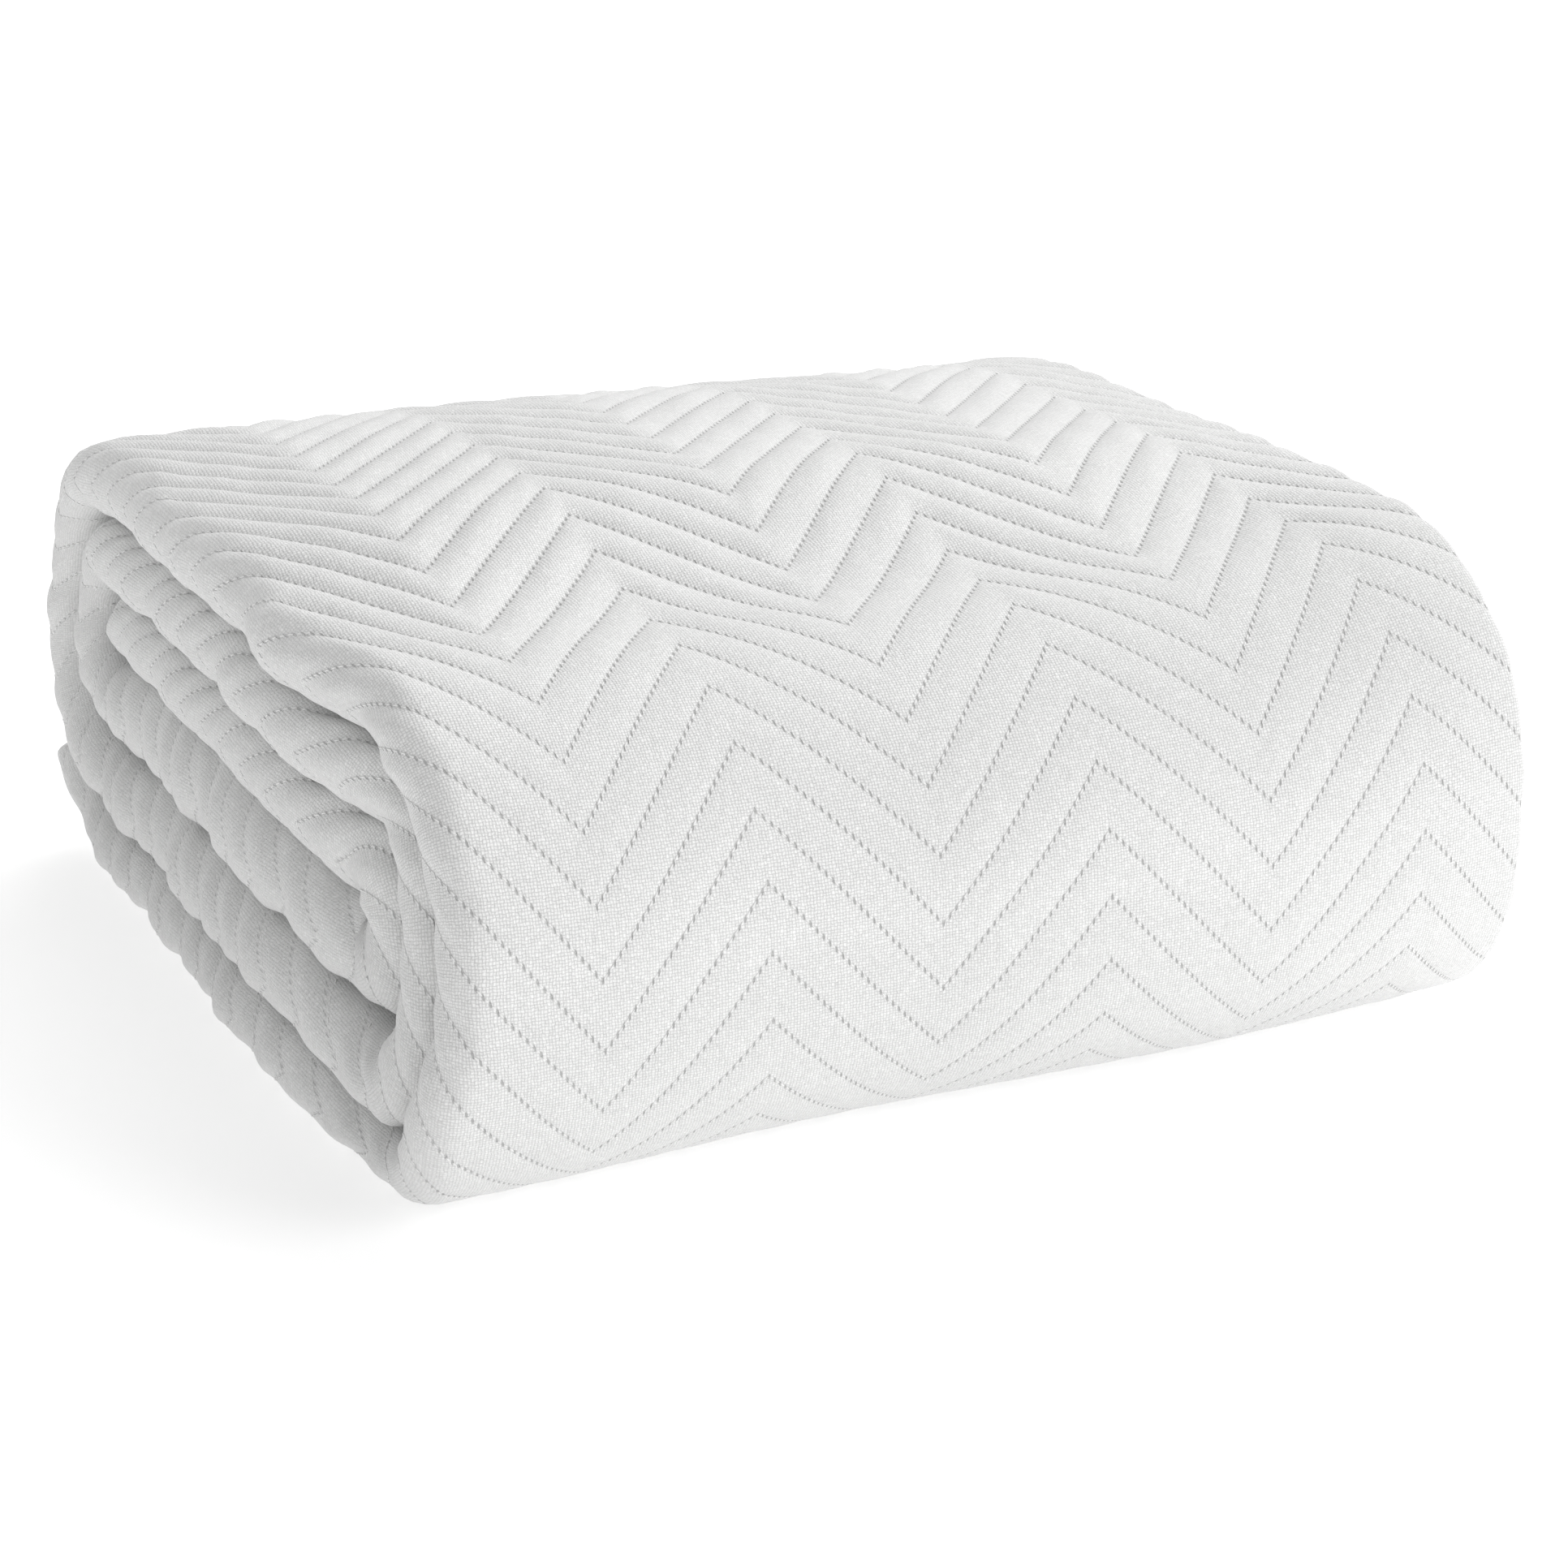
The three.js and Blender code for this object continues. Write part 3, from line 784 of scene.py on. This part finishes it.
class Recipe:
    """A material's node tree."""

    def __init__(self, name):
        self.material = bpy.data.materials.new(name)
        self.material.use_nodes = True
        self.tree = self.material.node_tree
        self.tree.nodes.clear()

    def node(self, kind, settings=None, sockets=None):
        made = self.tree.nodes.new(kind)
        for key, value in (settings or {}).items():
            setattr(made, key, value)
        for key, value in (sockets or {}).items():
            socket = value.socket if isinstance(value, Amount) else value
            if isinstance(socket, bpy.types.NodeSocket):
                self.tree.links.new(socket, made.inputs[key])
            else:
                made.inputs[key].default_value = socket
        return made.outputs

    def maths(self, operation, *values):
        made = self.node("ShaderNodeMath", {"operation": operation}, dict(enumerate(values)))
        return Amount(self, made["Value"])

    def step(self, value, low, high):
        """Rises smoothly from 0 at low to 1 at high."""
        sockets = {"Value": value, "From Min": low, "From Max": high}
        made = self.node("ShaderNodeMapRange", {"interpolation_type": "SMOOTHSTEP"}, sockets)
        return Amount(self, made["Result"])

    def noise(self, x, y, detail=2.0):
        at = self.node("ShaderNodeCombineXYZ", None, {"X": x, "Y": y})["Vector"]
        sockets = {"Vector": at, "Scale": 1.0, "Detail": detail}
        made = self.node("ShaderNodeTexNoise", {"noise_dimensions": "2D"}, sockets)
        return Amount(self, made["Fac"])

    def tint(self, factor, low, high):
        """A colour between two others."""
        sockets = {"Factor": factor, 6: low, 7: high}
        return self.node("ShaderNodeMix", {"data_type": "RGBA"}, sockets)[2]

    def bump(self, height, distance, strength):
        sockets = {"Height": height, "Distance": distance, "Strength": strength}
        return self.node("ShaderNodeBump", None, sockets)["Normal"]

    def surface(self, sockets):
        shader = self.node("ShaderNodeBsdfPrincipled", None, sockets)
        self.node("ShaderNodeOutputMaterial", None, {"Surface": shader["BSDF"]})
        return self.material


THREAD_PITCH = 0.0011         # from one thread of the weave to the next
HOLE = 0.00068                # a needle hole's half width
WANDER = 0.9                  # how far the threads wander, in threads
WANDER_FINE = 420.0           # how finely they do, for each metre
SLUB_FINE = 140.0             # how short the slubs are, for each metre
# The cloth's colour runs between these two; its darker end is partly painted shade, in the weave's
# pits and the needle holes
CLOTH_DARK = (0.36, 0.36, 0.357, 1)
CLOTH_LIGHT = (0.92, 0.92, 0.915, 1)
SEWING_DARK = (0.62, 0.62, 0.61, 1)
SEWING_LIGHT = (0.94, 0.94, 0.935, 1)


def quilted_cotton():
    """Matt white plain weave with slubs, pierced along the stitching, coloured with painted shade
    in its pits and needle holes and painted highlights on its slubs.
    """
    mat = Recipe("quilted_cotton")
    place_on = mat.node("ShaderNodeUVMap", {"uv_map": "cloth"})["UV"]
    parts = mat.node("ShaderNodeSeparateXYZ", None, {"Vector": place_on})
    u = Amount(mat, parts["X"])
    s = Amount(mat, parts["Y"])

    # The weave: threads along the cloth and threads across it, over and under by turns
    a = u / THREAD_PITCH + WANDER * (mat.noise(u * WANDER_FINE, s * WANDER_FINE) - 0.5)
    b = s / THREAD_PITCH + WANDER * (mat.noise(u * WANDER_FINE + 50.0, s * WANDER_FINE) - 0.5)
    along_wave = mat.maths("ABSOLUTE", mat.maths("SINE", a * math.pi))
    across_wave = mat.maths("ABSOLUTE", mat.maths("SINE", b * math.pi))
    count = mat.maths("FLOOR", a) + mat.maths("FLOOR", b)
    over = mat.maths("FLOORED_MODULO", count, 2.0)
    along_thread = along_wave * (0.55 + 0.45 * across_wave)
    across_thread = across_wave * (0.55 + 0.45 * along_wave)
    weave = over * along_thread + (1 - over) * across_thread * 0.92

    # Slubs: thicker, glossier places along single threads, lightened in colour as a painted
    # highlight (glint)
    along_slub = mat.noise(mat.maths("FLOOR", a) * 3.7, s * SLUB_FINE)
    across_slub = mat.noise(u * SLUB_FINE, mat.maths("FLOOR", b) * 3.7)
    slub = over * along_slub + (1 - over) * across_slub
    glint = mat.step(slub, 0.52, 0.80)
    grain = mat.noise(mat.maths("FLOOR", a) * 3.7, mat.maths("FLOOR", b) * 5.3) - 0.5

    # The stitching: how far the nearest line is, and how far the nearest needle hole along it
    from_peak = (mat.maths("ABSOLUTE", u - LIP_PEAK) + LIP_PEAK) / ZIG_HALF
    leg_share = mat.maths("PINGPONG", from_peak, 1.0) + 2.0 * mat.maths("MINIMUM", from_peak, 0.0)
    lines = (s - leg_share * ZIG_RISE - PHASE) / CHANNEL
    to_line = mat.maths("ABSOLUTE", lines - mat.maths("ROUND", lines))
    slant = ZIG_HALF / math.hypot(ZIG_HALF, ZIG_RISE)
    off_line = to_line * (CHANNEL * slant)
    holes = leg_share * STITCHES_A_LEG
    to_hole = mat.maths("ABSOLUTE", holes - mat.maths("ROUND", holes))
    off_hole = to_hole * STITCH
    far = mat.maths("SQRT", off_line * off_line + off_hole * off_hole)
    hole = 1 - mat.step(far, HOLE * 0.55, HOLE * 1.45)

    cloudy = mat.noise(u * 9.0, s * 9.0, 3.0)
    on_face = mat.step(u, -0.004, 0.020)
    # Painted shade and highlight: the colour is darker in the pits between threads and lighter on
    # their crowns, following the weave's height. Off the face this painted weave shade is weaker
    plain = (1 - on_face) * (0.14 - 0.24 * weave)
    tone = 0.49 + 0.45 * weave + plain + 0.38 * grain + 0.10 * glint + 0.10 * (cloudy - 0.5)
    # Painted shade in the needle holes: the colour darkens there, much more on the face than off it
    tone = mat.maths("MINIMUM", tone, 1.0) * (1 - (0.20 + 0.46 * on_face) * hole)
    color = mat.tint(tone, CLOTH_DARK, CLOTH_LIGHT)
    height = weave * (0.85 + 0.3 * slub) - 2.0 * hole
    return mat.surface({
        "Base Color": color,
        "Roughness": 0.92 - 0.10 * glint,
        "Normal": mat.bump(height, 0.00022, 0.8),
        "Specular IOR Level": 0.25,
        "Sheen Weight": 0.25,
        "Sheen Roughness": 0.5,
    })


def sewing_thread():
    """Twisted white polyester, a little glossier than the cotton."""
    mat = Recipe("sewing_thread")
    at = mat.node("ShaderNodeTexCoord")["Object"]
    parts = mat.node("ShaderNodeSeparateXYZ", None, {"Vector": at})
    x, y, z = (Amount(mat, parts[name]) for name in "XYZ")
    twist = mat.maths("SINE", (x + 1.3 * y + 0.8 * z) * 9000.0)
    cloudy = mat.noise(x * 160.0 + z * 70.0, y * 160.0)
    # Painted shade and highlight: the thread's colour is darker in the grooves of its twist and
    # lighter on its ridges, following the bump's twist
    tone = 0.75 + 0.15 * twist + 0.2 * (cloudy - 0.5)
    color = mat.tint(tone, SEWING_DARK, SEWING_LIGHT)
    return mat.surface({
        "Base Color": color,
        "Roughness": 0.62 + 0.10 * cloudy,
        "Normal": mat.bump(twist, 0.00004, 0.6),
        "Specular IOR Level": 0.4,
    })


def show(name, mesh):
    piece = bpy.data.objects.new(name, mesh)
    bpy.context.collection.objects.link(piece)
    return piece


cloth_mesh = sew_cloth()
cloth_mesh.materials.append(quilted_cotton())
cloth_mesh.shade_smooth()
cloth = show("bedspread_cloth", cloth_mesh)
stitches = show("bedspread_stitches", sew_stitches(sewing_thread()))

for piece in (cloth, stitches):
    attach(piece, "root")
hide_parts("folded_bedspread")


FLOOR_REACH = 15.0            # half the floor's width
# Painted light: the floor glows by itself, dim near the pile's middle and bright beyond GLOW_RUN,
# so that it reads darker round the pile and white far off
GLOW_RUN = (0.32, 1.0)        # from the middle, where the floor turns from dim to bright
GLOW_DIM = (0.42, 0.42, 0.42, 1)
GLOW_BRIGHT = (0.80, 0.80, 0.80, 1)


def make_floor():
    mat = Recipe("pale_floor")
    at = mat.node("ShaderNodeTexCoord")["Object"]
    parts = mat.node("ShaderNodeSeparateXYZ", None, {"Vector": at})
    speck = mat.noise(Amount(mat, parts["X"]) * 3.0, Amount(mat, parts["Y"]) * 3.0)
    color = mat.tint(speck, (0.86, 0.86, 0.86, 1), (0.88, 0.88, 0.88, 1))
    # Painted light: the glow grows with the distance from the pile's middle
    far = mat.node("ShaderNodeVectorMath", {"operation": "LENGTH"}, {0: at})["Value"]
    glow = mat.tint(mat.step(Amount(mat, far), *GLOW_RUN), GLOW_DIM, GLOW_BRIGHT)
    material = mat.surface({
        "Base Color": color,
        "Roughness": 0.9,
        "Specular IOR Level": 0.0,
        "Emission Color": glow,
        "Emission Strength": 1.0,
    })
    reach = FLOOR_REACH
    mesh = bpy.data.meshes.new("floor")
    corners = [(-reach, -reach, 0), (reach, -reach, 0), (reach, reach, 0), (-reach, reach, 0)]
    mesh.from_pydata(corners, [], [(0, 1, 2, 3)])
    mesh.materials.append(material)
    return show("floor", mesh)


make_floor()


def softbox(name, at, size, watts, aim=(0, 0, 0.08)):
    light = bpy.data.lights.new(name, "AREA")
    light.shape = "RECTANGLE"
    light.size, light.size_y = size
    light.energy = watts
    lamp = bpy.data.objects.new(name, light)
    bpy.context.collection.objects.link(lamp)
    lamp.location = at
    lamp.rotation_euler = (Vector(aim) - Vector(at)).to_track_quat("-Z", "Y").to_euler()


softbox("back_right", (1.0, 0.9, 1.8), (2.2, 2.2), 36)
softbox("front_right", (1.5, -1.6, 1.0), (1.6, 1.4), 22)

world = bpy.data.worlds.new("studio")
world.use_nodes = True
sky = world.node_tree.nodes["Background"]
sky.inputs["Color"].default_value = (1, 1, 1, 1)
sky.inputs["Strength"].default_value = 0.48
bpy.context.scene.world = world
bpy.context.scene.view_settings.view_transform = "Standard"


CAMERA_TURNS = (24.419, 18.395, 0.390)           # to the right, down, and about its own axis
CAMERA_SPOT = (-0.2661, -1.0647, 0.4460)         # before the pile's middle is brought to 0
CAMERA_LENS = 77.12


def make_camera():
    """The photo's viewpoint, from the corners of the zig-zags."""
    yaw, pitch, roll = (math.radians(turn) for turn in CAMERA_TURNS)
    level = math.cos(pitch)
    ahead = Vector((math.sin(yaw) * level, math.cos(yaw) * level, -math.sin(pitch)))
    right = Vector((math.cos(yaw), -math.sin(yaw), 0))
    up = right.cross(ahead)
    x_axis = math.cos(roll) * right + math.sin(roll) * up
    y_axis = math.cos(roll) * up - math.sin(roll) * right
    data = bpy.data.cameras.new("camera")
    data.sensor_width = 36
    data.lens = CAMERA_LENS
    data.dof.use_dof = False
    camera = bpy.data.objects.new("camera", data)
    bpy.context.collection.objects.link(camera)
    turn = Matrix((x_axis, y_axis, -ahead)).transposed().to_4x4()
    x, y, z = CAMERA_SPOT
    spot = Vector((x - CENTRE[0], y - CENTRE[1], z))
    camera.matrix_world = Matrix.Translation(spot) @ turn
    bpy.context.scene.camera = camera


make_camera()
